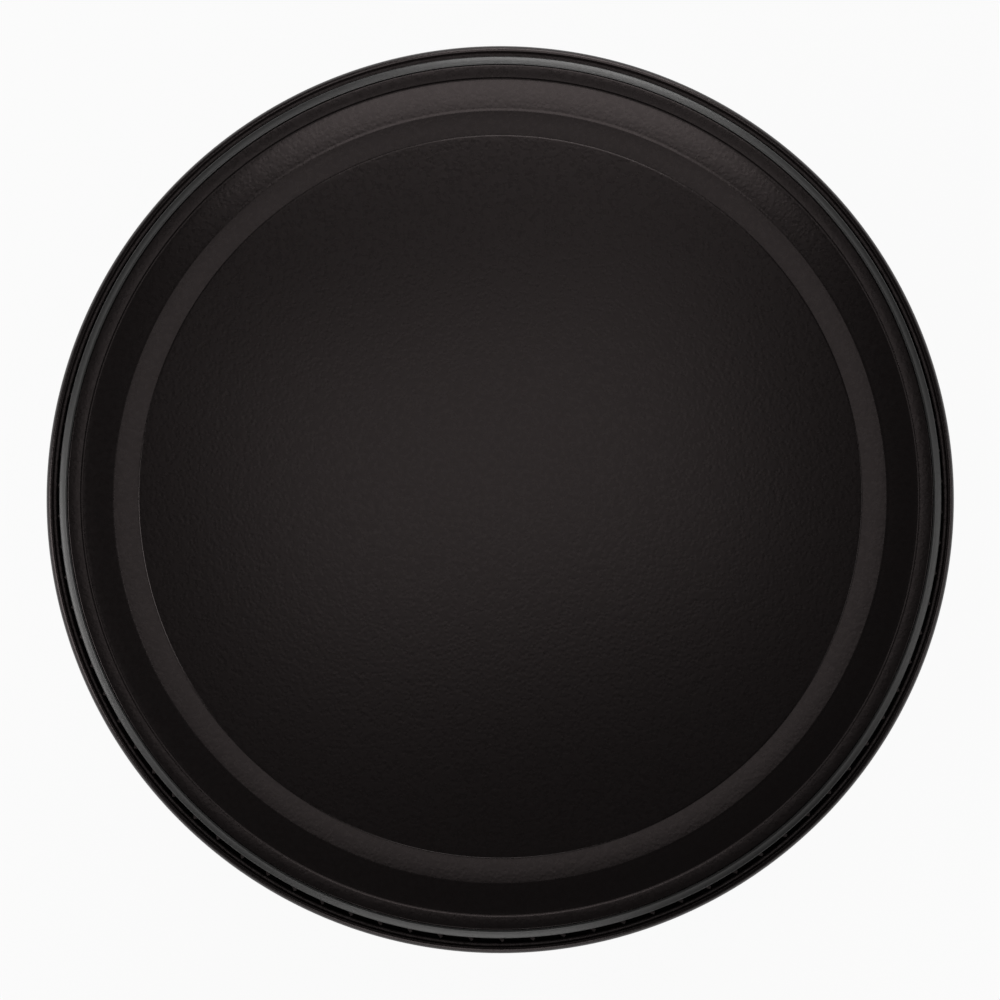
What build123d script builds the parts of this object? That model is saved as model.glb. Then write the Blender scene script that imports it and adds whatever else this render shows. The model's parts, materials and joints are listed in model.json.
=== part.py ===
from build123d import *
import math
import os

# A round-bodied desktop delta printer. Millimetres, +Z up, origin under the centre at the feet.
# Towers: a at the back (+Y), b front left, c front right. In a tower's own directions,
# u runs outward from the machine's axis, v runs sideways (counter-clockwise) and z up.

# ---- overall -------------------------------------------------------------------------------
overall_height = 500.0
shell_radius = 135.0
shell_wall = 2.5
fit_gap = 0.1              # between nested pieces that are fastened to each other
free_gap = 0.3             # between pieces that move past each other
running_gap = 0.05         # radial clearance of a turning or sliding fit
tower_angles = {"a": 90.0, "b": 210.0, "c": 330.0}

# ---- base ----------------------------------------------------------------------------------
foot_radius = 8.0
foot_height = 4.0
foot_circle = 112.0
base_plate_thick = 3.0
base_shell_top = 68.0
deck_thick = 3.0
deck_inset = 1.0           # deck's face below the rim of the base shell
shell_inner = shell_radius - shell_wall
base_plate_top = foot_height + base_plate_thick
deck_top = base_shell_top - deck_inset
deck_under = deck_top - deck_thick
disc_radius = shell_inner - fit_gap
window_u = (98.0, 128.2)   # opening in deck and floor that a tower passes through
window_half = 15.5

# ---- towers --------------------------------------------------------------------------------
column_size = 20.0
column_inner_u = 108.0
column_outer_u = column_inner_u + column_size
column_top = 452.0
column_slot = 6.0
column_slot_depth = 5.0
rail_width = 9.0
rail_depth = 6.5
rail_z = (75.0, 390.0)
rail_inner_u = column_inner_u - rail_depth
block_u = (98.0, 106.0)
block_width = 20.0
block_height = 40.0
cover_wall = 2.0
cover_inner_half = 16.0
cover_radius = 131.5
cover_start_u = 98.5
cover_back_u = column_outer_u + free_gap

# ---- belts, pulleys and motors ----------------------------------------------------------------
pitch_radius = 12.73
belt_thick = 1.4
belt_u = (99.0, 105.0)
belt_in_r = pitch_radius - belt_thick / 2
belt_out_r = pitch_radius + belt_thick / 2
pulley_radius = belt_in_r - free_gap
flange_radius = belt_out_r + 0.6
flange_thick = 1.0
motor_axis_z = 36.0
idler_axis_z = 436.0
shaft_radius = 2.5
motor_side = 42.0
motor_length = 36.0
motor_face_u = 92.0
motor_boss_radius = 11.0
mount_thick = 3.0
mount_half = 24.0

# ---- carriages, rods and effector ------------------------------------------------------------
nozzle_z = 134.0           # nozzle tip at rest, half way up the build height
joint_above_nozzle = 30.0
rod_length = 150.0
rod_reach = 60.0           # horizontal distance that a rod covers
rod_spacing_half = 22.0
rod_radius = 2.5
ball_radius = 4.0
carriage_ball_u = 82.6
carriage_u = (88.0, 98.0)
carriage_half = 24.0
carriage_height = 36.0
effector_thick = 8.0
effector_arm_u = (12.0, 18.2)
effector_ball_u = carriage_ball_u - rod_reach
effector_z = nozzle_z + joint_above_nozzle
carriage_z = effector_z + math.sqrt(rod_length ** 2 - rod_reach ** 2)
effector_top = effector_z + effector_thick / 2
effector_under = effector_z - effector_thick / 2

heatsink_radius = 9.0
heatsink_height = 24.0
heatsink_top = effector_top + heatsink_height
filament_radius = 1.0
extruder_half = 18.0
extruder_depth = 16.0
extruder_height = 38.0
gear_radius = 5.5
gear_x = gear_radius + 0.9
gear_z = heatsink_top + extruder_height / 2
pancake_radius = 18.0
pancake_length = 18.0
lever_pin_x = -13.0
lever_pin_radius = 1.5
lever_thick = 3.5
lever_length = 40.0
fan_side = 24.0
fan_depth = 8.0
fan_bore = 11.0

# ---- bed -----------------------------------------------------------------------------------
bed_radius = 72.0
bed_support_height = 3.0
heater_thick = 3.0
flex_thick = 1.0
flex_tab = 10.0

# ---- hat: top drum, floor, spool hub and lid ------------------------------------------------
hat_bottom = 392.0
floor_under = 396.0
floor_thick = 4.0
floor_top = floor_under + floor_thick
lip_top = 461.9
lip_fillet = 3.0
lip_inner = 131.8
ledge_inner = 129.0
flange_inner = 125.0
vent_flange_thick = 3.0
fin_count = 90
fin_height = 6.0
fin_length = 2.6
fin_thick = 0.9
fin_circle = 130.35
hub_height = 48.0
hub_radius = 24.5
hub_flange_radius = 38.0
spindle_radius = 9.5

lid_outer = 128.7
lid_wall = 3.0
trim_outer = 128.74
trim_drop = 3.0            # height of the trim ring's upright band
trim_chamfer = (2.0, 1.9)  # width and rise of its bevel
shoulder_inner = 122.4
shoulder_rise = 0.34
land_outer = 112.4
land_inner = 105.43
slope_rise = 2.46
slope_bulge = 0.36
disc_step = 0.6
disc_rise = 7.2
disc_edge = land_inner - fit_gap
disc_ledge = 100.0
disc_thick = 2.6
top_rise = trim_chamfer[1] + shoulder_rise + slope_rise + disc_step + disc_rise
rim_z = overall_height - top_rise      # foot of the bevel
shoulder_z = rim_z + trim_chamfer[1]
slope_z = shoulder_z + shoulder_rise
land_z = slope_z + slope_rise
disc_edge_z = land_z + disc_step
skirt_z = column_top + vent_flange_thick + free_gap

# ---- panel and button ------------------------------------------------------------------------
panel_angle = 30.0
panel_half = 27.0
panel_height = 28.0
panel_thick = 3.0
panel_window_half = 23.0
panel_window_height = 24.0
panel_outer_u = 129.3
panel_z = 36.0
rocker_v = 14.0
rocker_half = 5.0
rocker_height = 16.0
button_angle = 270.0
button_z = 36.0
button_radius = 7.3
button_face_u = 134.4
ring_wall = 1.6


def tower_plane(angle, z=0.0):
    """Horizontal plane: local x runs outward (u), local y sideways (v)."""
    a = math.radians(angle)
    return Plane(origin=(0, 0, z), x_dir=(math.cos(a), math.sin(a), 0), z_dir=(0, 0, 1))


def radial_plane(angle, u, z):
    """Upright plane facing outward: local x runs sideways (v), local y up."""
    a = math.radians(angle)
    c, s = math.cos(a), math.sin(a)
    return Plane(origin=(u * c, u * s, z), x_dir=(-s, c, 0), z_dir=(c, s, 0))


def side_plane(y, z=0.0, x=0.0):
    """Upright plane facing the back: local x runs to the left, local y up."""
    return Plane(origin=(x, y, z), x_dir=(-1, 0, 0), z_dir=(0, 1, 0))


def tower_point(angle, u, v, z):
    a = math.radians(angle)
    return (u * math.cos(a) - v * math.sin(a), u * math.sin(a) + v * math.cos(a), z)


def save(built, label):
    built.part.label = label
    export_step(built.part, "parts/" + label + ".step")


os.makedirs("parts", exist_ok=True)

# ================================================================== base
with BuildPart() as rubber_feet:
    with BuildSketch(Plane.XY):
        with PolarLocations(foot_circle, 6, start_angle=30):
            Circle(foot_radius)
    extrude(amount=foot_height)
save(rubber_feet, "rubber_feet")

screw_u = (column_inner_u + 5, column_outer_u - 5)
screw_radius = 1.5
screw_head_radius = 3.0
screw_head = 1.6
screw_sink = 0.2
screw_depth = 8.0

with BuildPart() as base_plate:
    with BuildSketch(Plane.XY.offset(foot_height)):
        Circle(shell_radius - 1)
    extrude(amount=base_plate_thick)
    for angle in tower_angles.values():
        with BuildSketch(tower_plane(angle, foot_height)):
            with Locations(*[(u, 0) for u in screw_u]):
                Circle(screw_radius + fit_gap)
        extrude(amount=base_plate_thick, mode=Mode.SUBTRACT)
        with BuildSketch(tower_plane(angle, foot_height)):
            with Locations(*[(u, 0) for u in screw_u]):
                Circle(screw_head_radius + fit_gap)
        extrude(amount=screw_sink + screw_head, mode=Mode.SUBTRACT)
save(base_plate, "base_plate")

with BuildPart() as column_screws:
    for angle in tower_angles.values():
        with BuildSketch(tower_plane(angle, foot_height + screw_sink)):
            with Locations(*[(u, 0) for u in screw_u]):
                Circle(screw_head_radius)
        extrude(amount=screw_head)
        with BuildSketch(tower_plane(angle, foot_height + screw_sink)):
            with Locations(*[(u, 0) for u in screw_u]):
                Circle(screw_radius)
        extrude(amount=base_plate_top + screw_depth - foot_height - screw_sink)
save(column_screws, "column_screws")

with BuildPart() as base_shell:
    with BuildSketch(Plane.XY.offset(base_plate_top)):
        Circle(shell_radius)
        Circle(shell_inner, mode=Mode.SUBTRACT)
    extrude(amount=base_shell_top - base_plate_top)
    rim = base_shell.edges().filter_by(GeomType.CIRCLE).group_by(Axis.Z)[-1].sort_by(SortBy.RADIUS)[-1]
    fillet(rim, radius=1.5)
    with BuildSketch(radial_plane(panel_angle, shell_radius - 12, panel_z)):
        RectangleRounded(2 * panel_window_half, panel_window_height, 2)
    extrude(amount=20, mode=Mode.SUBTRACT)
    with BuildSketch(radial_plane(button_angle, shell_radius - 12, button_z)):
        Circle(button_radius + free_gap + ring_wall + fit_gap)
    extrude(amount=20, mode=Mode.SUBTRACT)
    # cooling slots low down at the back left, between two towers
    for step in range(-4, 5):
        with BuildSketch(radial_plane(150.0 + 5.0 * step, shell_radius - 12, 30)):
            SlotOverall(22, 4, rotation=90)
        extrude(amount=20, mode=Mode.SUBTRACT)
save(base_shell, "base_shell")

with BuildPart() as base_deck:
    with BuildSketch(Plane.XY.offset(deck_under)):
        Circle(disc_radius)
    extrude(amount=deck_thick)
    for angle in tower_angles.values():
        with BuildSketch(tower_plane(angle, deck_under)):
            with Locations(((window_u[0] + window_u[1]) / 2, 0)):
                Rectangle(window_u[1] - window_u[0], 2 * window_half)
        extrude(amount=deck_thick, mode=Mode.SUBTRACT)
save(base_deck, "base_deck")

board_radius = 50.0
board_z = base_plate_top + 5.0
board_thick = 1.6
with BuildPart() as control_board:
    with BuildSketch(Plane.XY.offset(board_z)):
        Circle(board_radius)
    extrude(amount=board_thick)
    with BuildSketch(Plane.XY.offset(base_plate_top)):
        with PolarLocations(board_radius - 6, 4, start_angle=45):
            Circle(3)
    extrude(amount=board_z - base_plate_top)
    with BuildSketch(Plane.XY.offset(board_z + board_thick)):
        Rectangle(16, 16)
        with Locations((-24, 12), (-24, -12), (24, 12), (24, -12)):
            Rectangle(10, 8)
    extrude(amount=3)
    with BuildSketch(Plane.XY.offset(board_z + board_thick)):
        with PolarLocations(board_radius - 9, 3, start_angle=90):
            Rectangle(7, 18)
    extrude(amount=9)
save(control_board, "control_board")

with BuildPart() as io_panel:
    with BuildSketch(radial_plane(panel_angle, panel_outer_u - panel_thick, panel_z)):
        Rectangle(2 * panel_half, panel_height)
        with Locations((rocker_v, 0)):
            Rectangle(2 * (rocker_half + free_gap), rocker_height + 1.4, mode=Mode.SUBTRACT)
        with Locations((-14, 0)):
            Circle(4.2, mode=Mode.SUBTRACT)
        with Locations((-1, 0)):
            Rectangle(9, 4, mode=Mode.SUBTRACT)
    extrude(amount=panel_thick)
    # power jack barrel and data socket behind the panel
    with BuildSketch(radial_plane(panel_angle, panel_outer_u - panel_thick - 10, panel_z)):
        with Locations((-14, 0)):
            Circle(6.5)
            Circle(4.2, mode=Mode.SUBTRACT)
        with Locations((-1, 0)):
            Rectangle(11, 6)
            Rectangle(9, 4, mode=Mode.SUBTRACT)
    extrude(amount=10)
    with BuildSketch(radial_plane(panel_angle, panel_outer_u - panel_thick - 12, panel_z)):
        with Locations((-14, 0)):
            Circle(6.5)
        with Locations((-1, 0)):
            Rectangle(11, 6)
    extrude(amount=2)
save(io_panel, "io_panel")

with BuildPart() as power_rocker:
    with BuildSketch(radial_plane(panel_angle, panel_outer_u - 5.3, panel_z)):
        with Locations((rocker_v, 0)):
            Rectangle(2 * rocker_half, rocker_height)
    extrude(amount=6)
    fillet(power_rocker.edges().filter_by(Axis.Z, reverse=True), radius=0.6)
save(power_rocker, "power_rocker")

ring_in = button_radius + free_gap
ring_out = ring_in + ring_wall
with BuildPart() as button_ring:
    with BuildSketch(radial_plane(button_angle, 129, button_z)):
        Circle(12)
        Circle(ring_in, mode=Mode.SUBTRACT)
    extrude(amount=2)
    with BuildSketch(radial_plane(button_angle, 129, button_z)):
        Circle(ring_out)
        Circle(ring_in, mode=Mode.SUBTRACT)
    extrude(amount=5.6)
save(button_ring, "button_ring")

with BuildPart() as front_button:
    with BuildSketch(radial_plane(button_angle, button_face_u - 6, button_z)):
        Circle(button_radius)
    extrude(amount=6)
    fillet(front_button.faces().sort_by(Axis.Y)[0].edges(), radius=0.8)
save(front_button, "front_button")

# ================================================================== towers
for name, angle in tower_angles.items():
    with BuildPart() as tower_column:
        with BuildSketch(tower_plane(angle, base_plate_top)):
            with Locations((column_inner_u + column_size / 2, 0)):
                Rectangle(column_size, column_size)
            for side in (-1, 1):
                with Locations((column_inner_u + column_size / 2, side * (column_size - column_slot_depth) / 2)):
                    Rectangle(column_slot, column_slot_depth, mode=Mode.SUBTRACT)
        extrude(amount=column_top - base_plate_top)
        with BuildSketch(tower_plane(angle, base_plate_top)):
            with Locations(*[(u, 0) for u in screw_u]):
                Circle(screw_radius + fit_gap)
        extrude(amount=screw_depth + fit_gap, mode=Mode.SUBTRACT)
    save(tower_column, "tower_column_" + name)

with BuildPart() as linear_rails:
    for angle in tower_angles.values():
        with BuildSketch(tower_plane(angle, rail_z[0])):
            with Locations((column_inner_u - rail_depth / 2, 0)):
                Rectangle(rail_depth, rail_width)
        extrude(amount=rail_z[1] - rail_z[0])
save(linear_rails, "linear_rails")

with BuildPart() as column_covers:
    for angle in tower_angles.values():
        with BuildSketch(tower_plane(angle, deck_top)):
            with Locations(((cover_start_u + cover_radius) / 2, 0)):
                Rectangle(cover_radius - cover_start_u, 2 * (cover_inner_half + cover_wall))
            Circle(cover_radius, mode=Mode.INTERSECT)
            with Locations(((cover_start_u - 1 + cover_back_u) / 2, 0)):
                Rectangle(cover_back_u - cover_start_u + 1, 2 * cover_inner_half, mode=Mode.SUBTRACT)
        extrude(amount=floor_under - deck_top)
save(column_covers, "column_covers")

with BuildPart() as timing_belts:
    belt_span = idler_axis_z - motor_axis_z
    for angle in tower_angles.values():
        with BuildSketch(radial_plane(angle, belt_u[0], (idler_axis_z + motor_axis_z) / 2)):
            SlotCenterToCenter(belt_span, 2 * belt_out_r, rotation=90)
            SlotCenterToCenter(belt_span, 2 * belt_in_r, rotation=90, mode=Mode.SUBTRACT)
        extrude(amount=belt_u[1] - belt_u[0])
save(timing_belts, "timing_belts")

with BuildPart() as motor_mounts:
    for angle in tower_angles.values():
        with BuildSketch(radial_plane(angle, motor_face_u, (base_plate_top + deck_under) / 2)):
            Rectangle(2 * mount_half, deck_under - base_plate_top)
            with Locations((0, motor_axis_z - (base_plate_top + deck_under) / 2)):
                Circle(motor_boss_radius + free_gap, mode=Mode.SUBTRACT)
        extrude(amount=mount_thick)
save(motor_mounts, "motor_mounts")

bracket_u = 106.4
with BuildPart() as idler_brackets:
    for angle in tower_angles.values():
        with BuildSketch(radial_plane(angle, bracket_u, idler_axis_z)):
            Rectangle(18, 26)
        extrude(amount=column_inner_u - bracket_u)
        with BuildSketch(radial_plane(angle, 95.2, idler_axis_z)):
            Circle(shaft_radius)
        extrude(amount=bracket_u - 95.2)
        with BuildSketch(radial_plane(angle, 95.2, idler_axis_z)):
            Circle(4.5)
        extrude(amount=2)
save(idler_brackets, "idler_brackets")


def pulley_wheel(angle, z, bore):
    """Belt wheel with a flange each side of the belt, with a bore or solid."""
    with BuildPart() as wheel:
        for u, length, radius in (
            (belt_u[0] - flange_thick - fit_gap, flange_thick, flange_radius),
            (belt_u[0] - fit_gap, belt_u[1] - belt_u[0] + 2 * fit_gap, pulley_radius),
            (belt_u[1] + fit_gap, flange_thick, flange_radius),
        ):
            with BuildSketch(radial_plane(angle, u, z)):
                Circle(radius)
                if bore:
                    Circle(bore, mode=Mode.SUBTRACT)
            extrude(amount=length)
    return wheel.part


for name, angle in tower_angles.items():
    with BuildPart() as tower_motor:
        with BuildSketch(radial_plane(angle, motor_face_u - motor_length, motor_axis_z)):
            Rectangle(motor_side, motor_side)
            chamfer(vertices(), length=4)
        extrude(amount=motor_length)
        with BuildSketch(radial_plane(angle, motor_face_u, motor_axis_z)):
            Circle(motor_boss_radius)
        extrude(amount=2)
        with BuildSketch(radial_plane(angle, motor_face_u - 20, motor_axis_z)):
            Circle(shaft_radius + running_gap)
        extrude(amount=22, mode=Mode.SUBTRACT)
    save(tower_motor, "tower_motor_" + name)

    driven_wheel = pulley_wheel(angle, motor_axis_z, 0)
    with BuildPart() as motor_pulley:
        add(driven_wheel)
        with BuildSketch(radial_plane(angle, motor_face_u - 18, motor_axis_z)):
            Circle(shaft_radius)
        extrude(amount=column_inner_u - 0.8 - motor_face_u + 18)
    save(motor_pulley, "motor_pulley_" + name)

    idler_wheel = pulley_wheel(angle, idler_axis_z, shaft_radius + running_gap)
    with BuildPart() as idler_pulley:
        add(idler_wheel)
    save(idler_pulley, "idler_pulley_" + name)

    with BuildPart() as rail_block:
        with BuildSketch(tower_plane(angle, carriage_z - block_height / 2)):
            with Locations(((block_u[0] + block_u[1]) / 2, 0)):
                Rectangle(block_u[1] - block_u[0], block_width)
            with Locations(((rail_inner_u - running_gap + block_u[1] + 1) / 2, 0)):
                Rectangle(block_u[1] + 1 - rail_inner_u + running_gap, rail_width + 2 * running_gap,
                          mode=Mode.SUBTRACT)
        extrude(amount=block_height)
    save(rail_block, "rail_block_" + name)

    with BuildPart() as carriage:
        with BuildSketch(tower_plane(angle, carriage_z - carriage_height / 2)):
            with Locations(((carriage_u[0] + carriage_u[1]) / 2, 0)):
                Rectangle(carriage_u[1] - carriage_u[0], 2 * carriage_half)
            with Locations((carriage_u[0] + 1.5, 0)):
                Rectangle(5, 24, mode=Mode.SUBTRACT)
        extrude(amount=carriage_height)
        # cups that hold the upper rod ends
        with BuildSketch(radial_plane(angle, carriage_ball_u + ball_radius + 0.2, carriage_z)):
            with Locations((rod_spacing_half - 1, 0), (1 - rod_spacing_half, 0)):
                Circle(2.8)
        extrude(amount=carriage_u[0] - carriage_ball_u - ball_radius)
        # belt clamp beside the belt's rising run
        with BuildSketch(tower_plane(angle, carriage_z - 10)):
            with Locations(((carriage_u[1] + belt_u[1]) / 2, belt_out_r + free_gap + 0.8)):
                Rectangle(belt_u[1] - carriage_u[1], 1.6)
        extrude(amount=20)
    save(carriage, "carriage_" + name)

    with BuildPart() as rods:
        for side in (-1, 1):
            v = side * rod_spacing_half
            low = Vector(*tower_point(angle, effector_ball_u, v, effector_z))
            high = Vector(*tower_point(angle, carriage_ball_u, v, carriage_z))
            with BuildSketch(Plane(origin=low, z_dir=high - low)):
                Circle(rod_radius)
            extrude(amount=(high - low).length)
            with Locations(low, high):
                Sphere(ball_radius)
    save(rods, "rods_" + name)

# ================================================================== effector and extruder
with BuildPart() as effector_plate:
    for angle in tower_angles.values():
        with BuildSketch(tower_plane(angle, effector_under)):
            with Locations(((effector_arm_u[0] + effector_arm_u[1]) / 2, 0)):
                Rectangle(effector_arm_u[1] - effector_arm_u[0], 2 * carriage_half)
        extrude(amount=effector_thick)
    with BuildSketch(Plane.XY.offset(effector_under)):
        Circle(20)
    extrude(amount=effector_thick)
    with BuildSketch(Plane.XY.offset(effector_under)):
        Circle(4)
    extrude(amount=effector_thick, mode=Mode.SUBTRACT)
save(effector_plate, "effector_plate")

fin_pitch = 4.0
with BuildPart() as heatsink:
    with BuildSketch(Plane.XY.offset(effector_under - 7.8)):
        Circle(3.6)
    extrude(amount=heatsink_top - effector_under + 7.8)
    for step in range(int(heatsink_height / fin_pitch)):
        with BuildSketch(Plane.XY.offset(effector_top + fin_pitch * step)):
            Circle(heatsink_radius)
        extrude(amount=2)
    with BuildSketch(Plane.XY.offset(heatsink_top - 2)):
        Circle(heatsink_radius)
    extrude(amount=2)
    with BuildSketch(Plane.XY.offset(effector_under - 7.8)):
        Circle(filament_radius)
    extrude(amount=heatsink_top - effector_under + 7.8, mode=Mode.SUBTRACT)
save(heatsink, "heatsink")

block_top = effector_under - 8
with BuildPart() as heater_block:
    with BuildSketch(Plane.XY.offset(block_top - 12)):
        with Locations((0, 4)):
            Rectangle(16, 22)
    extrude(amount=12)
    with BuildSketch(Plane(origin=(-8, 9, block_top - 6), x_dir=(0, 1, 0), z_dir=(1, 0, 0))):
        Circle(3)
    extrude(amount=16, mode=Mode.SUBTRACT)
save(heater_block, "heater_block")

with BuildPart() as nozzle:
    with BuildSketch(Plane.XY.offset(block_top - 12)):
        RegularPolygon(4, 6)
    extrude(amount=-3)
    with BuildSketch(Plane.XY.offset(block_top - 15)):
        Circle(3.2)
    with BuildSketch(Plane.XY.offset(nozzle_z)):
        Circle(0.8)
    loft()
    with BuildSketch(Plane.XY.offset(nozzle_z)):
        Circle(0.3)
    extrude(amount=3, mode=Mode.SUBTRACT)
save(nozzle, "nozzle")

body_front = -extruder_depth / 2
with BuildPart() as extruder_body:
    with BuildSketch(Plane.XY.offset(heatsink_top)):
        Rectangle(2 * extruder_half, extruder_depth)
    extrude(amount=extruder_height)
    with BuildSketch(side_plane(body_front, gear_z, gear_x)):
        Circle(gear_radius + free_gap)
    extrude(amount=extruder_depth, mode=Mode.SUBTRACT)
    with BuildSketch(Plane.XY.offset(heatsink_top)):
        Circle(filament_radius)
    extrude(amount=extruder_height, mode=Mode.SUBTRACT)
    with BuildSketch(side_plane(body_front - lever_thick - 1, heatsink_top + 5, lever_pin_x)):
        Circle(lever_pin_radius)
    extrude(amount=lever_thick + 1)
save(extruder_body, "extruder_body")

with BuildPart() as extruder_motor:
    with BuildSketch(side_plane(extruder_depth / 2, gear_z, gear_x)):
        Circle(pancake_radius)
        Circle(shaft_radius + running_gap, mode=Mode.SUBTRACT)
    extrude(amount=pancake_length - 2)
    with BuildSketch(side_plane(extruder_depth / 2 + pancake_length - 2, gear_z, gear_x)):
        Circle(pancake_radius)
    extrude(amount=2)
save(extruder_motor, "extruder_motor")

gear_teeth = 18
with BuildPart() as drive_gear:
    with BuildSketch(side_plane(-4, gear_z, gear_x)):
        Circle(gear_radius)
        with PolarLocations(gear_radius, gear_teeth):
            Rectangle(0.9, 0.8, mode=Mode.SUBTRACT)
    extrude(amount=8)
    with BuildSketch(side_plane(-6, gear_z, gear_x)):
        Circle(shaft_radius)
    extrude(amount=6 + extruder_depth / 2 + 14)
save(drive_gear, "drive_gear")

with BuildPart() as idler_lever:
    with BuildSketch(side_plane(body_front - free_gap - lever_thick, heatsink_top + 5, lever_pin_x)):
        with Locations((0, lever_length / 2 - 2)):
            Rectangle(7, lever_length)
        with Locations((0, lever_length - 2)):
            Circle(4.5)
        Circle(lever_pin_radius + running_gap, mode=Mode.SUBTRACT)
    extrude(amount=lever_thick)
save(idler_lever, "idler_lever")

fan_back = -heatsink_radius - free_gap - 0.2
fan_z = effector_top + heatsink_height / 2
with BuildPart() as fan_frame:
    with BuildSketch(side_plane(fan_back - fan_depth, fan_z)):
        RectangleRounded(fan_side, fan_side - 0.4, 2)
        Circle(fan_bore, mode=Mode.SUBTRACT)
    extrude(amount=fan_depth)
    with BuildSketch(side_plane(fan_back - 1.2, fan_z)):
        Circle(4.5)
        Rectangle(fan_side - 1, 1.6)
        Rectangle(1.6, fan_side - 1)
    extrude(amount=1.2)
save(fan_frame, "fan_frame")

with BuildPart() as fan_rotor:
    with BuildSketch(side_plane(fan_back - fan_depth + 0.4, fan_z)):
        Circle(4.5)
    extrude(amount=fan_depth - 0.4 - 1.2 - free_gap)
    with BuildSketch(side_plane(fan_back - fan_depth + 1.2, fan_z)):
        with PolarLocations(7.2, 7):
            Rectangle(6.4, 1.2, rotation=20)
    extrude(amount=4)
save(fan_rotor, "fan_rotor")

# ================================================================== bed
heater_z = deck_top + bed_support_height
with BuildPart() as bed_supports:
    with BuildSketch(Plane.XY.offset(deck_top)):
        with PolarLocations(bed_radius - 12, 3, start_angle=30):
            Circle(6)
    extrude(amount=bed_support_height)
save(bed_supports, "bed_supports")

with BuildPart() as heater_plate:
    with BuildSketch(Plane.XY.offset(heater_z)):
        Circle(bed_radius)
    extrude(amount=heater_thick)
save(heater_plate, "heater_plate")

with BuildPart() as flex_plate:
    with BuildSketch(Plane.XY.offset(heater_z + heater_thick)):
        Circle(bed_radius)
        with Locations((0, -bed_radius)):
            RectangleRounded(30, 2 * flex_tab, 4)
    extrude(amount=flex_thick)
save(flex_plate, "flex_plate")

# ================================================================== hat
with BuildPart() as top_shell:
    with BuildSketch(Plane.XZ):
        with BuildLine():
            Polyline((shell_inner, hat_bottom), (shell_radius, hat_bottom),
                     (shell_radius, lip_top - lip_fillet))
            RadiusArc((shell_radius, lip_top - lip_fillet), (shell_radius - lip_fillet, lip_top), -lip_fillet)
            Polyline((shell_radius - lip_fillet, lip_top), (lip_inner, lip_top), (lip_inner, lip_top - 4),
                     (shell_inner, lip_top - 4.7), (shell_inner, column_top), (ledge_inner, column_top),
                     (ledge_inner, column_top - 2.5), (shell_inner, column_top - 6), (shell_inner, hat_bottom))
        make_face()
    revolve(axis=Axis.Z)
save(top_shell, "top_shell")

with BuildPart() as top_floor:
    with BuildSketch(Plane.XY.offset(floor_under)):
        Circle(disc_radius)
        Circle(6, mode=Mode.SUBTRACT)
        with PolarLocations(58, 3, start_angle=30):
            Circle(9, mode=Mode.SUBTRACT)
    extrude(amount=floor_thick)
    for angle in tower_angles.values():
        with BuildSketch(tower_plane(angle, floor_under)):
            with Locations(((window_u[0] + window_u[1]) / 2, 0)):
                Rectangle(window_u[1] - window_u[0], 2 * window_half)
        extrude(amount=floor_thick, mode=Mode.SUBTRACT)
save(top_floor, "top_floor")

with BuildPart() as led_ring:
    with BuildSketch(Plane.XY.offset(floor_under)):
        Circle(84)
        Circle(70, mode=Mode.SUBTRACT)
    extrude(amount=-3.5)
save(led_ring, "led_ring")

with BuildPart() as hub_spindle:
    with BuildSketch(Plane.XY.offset(floor_top)):
        Circle(30)
        Circle(6, mode=Mode.SUBTRACT)
    extrude(amount=3)
    with BuildSketch(Plane.XY.offset(floor_top)):
        Circle(spindle_radius)
        Circle(6, mode=Mode.SUBTRACT)
    extrude(amount=hub_height + 2)
save(hub_spindle, "hub_spindle")

hub_z = floor_top + 3 + free_gap
with BuildPart() as spool_hub:
    with BuildSketch(Plane.XY.offset(hub_z)):
        Circle(hub_flange_radius)
        Circle(spindle_radius + running_gap, mode=Mode.SUBTRACT)
    extrude(amount=3)
    with BuildSketch(Plane.XY.offset(hub_z)):
        Circle(hub_radius)
        Circle(spindle_radius + running_gap, mode=Mode.SUBTRACT)
    extrude(amount=hub_height - 6)
save(spool_hub, "spool_hub")

with BuildPart() as vent_ring:
    with BuildSketch(Plane.XY.offset(column_top)):
        Circle(shell_inner - free_gap)
        Circle(flange_inner, mode=Mode.SUBTRACT)
    extrude(amount=vent_flange_thick)
    # slanted fins that fill the gap between lid and lip
    with BuildSketch(Plane.XY.offset(column_top + vent_flange_thick)):
        with PolarLocations(fin_circle, fin_count, start_angle=2):
            Rectangle(fin_length, fin_thick, rotation=45)
    extrude(amount=fin_height)
save(vent_ring, "vent_ring")

seat_r = trim_outer - 2.5          # cylinder that the trim ring sits around
slope_mid_r = (shoulder_inner + land_outer) / 2
slope_mid_z = (slope_z + land_z) / 2
slope_run = shoulder_inner - land_outer
slope_chord = math.hypot(slope_run, slope_rise)
with BuildPart() as lid_body:
    with BuildSketch(Plane.XZ):
        with BuildLine():
            Polyline((lid_outer - lid_wall, skirt_z), (lid_outer, skirt_z), (lid_outer, rim_z - trim_drop),
                     (seat_r, rim_z - trim_drop), (seat_r, shoulder_z), (shoulder_inner, slope_z))
            ThreePointArc((shoulder_inner, slope_z),
                          (slope_mid_r + slope_bulge * slope_rise / slope_chord,
                           slope_mid_z + slope_bulge * slope_run / slope_chord),
                          (land_outer, land_z))
            Polyline((land_outer, land_z), (land_inner, land_z), (land_inner, land_z - 2),
                     (disc_ledge, land_z - 2), (disc_ledge, land_z - 4.5), (land_outer + 1, land_z - 4.5),
                     (shoulder_inner, rim_z - 4), (lid_outer - lid_wall, rim_z - 7),
                     (lid_outer - lid_wall, skirt_z))
        make_face()
    revolve(axis=Axis.Z)
save(lid_body, "lid_body")

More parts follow.
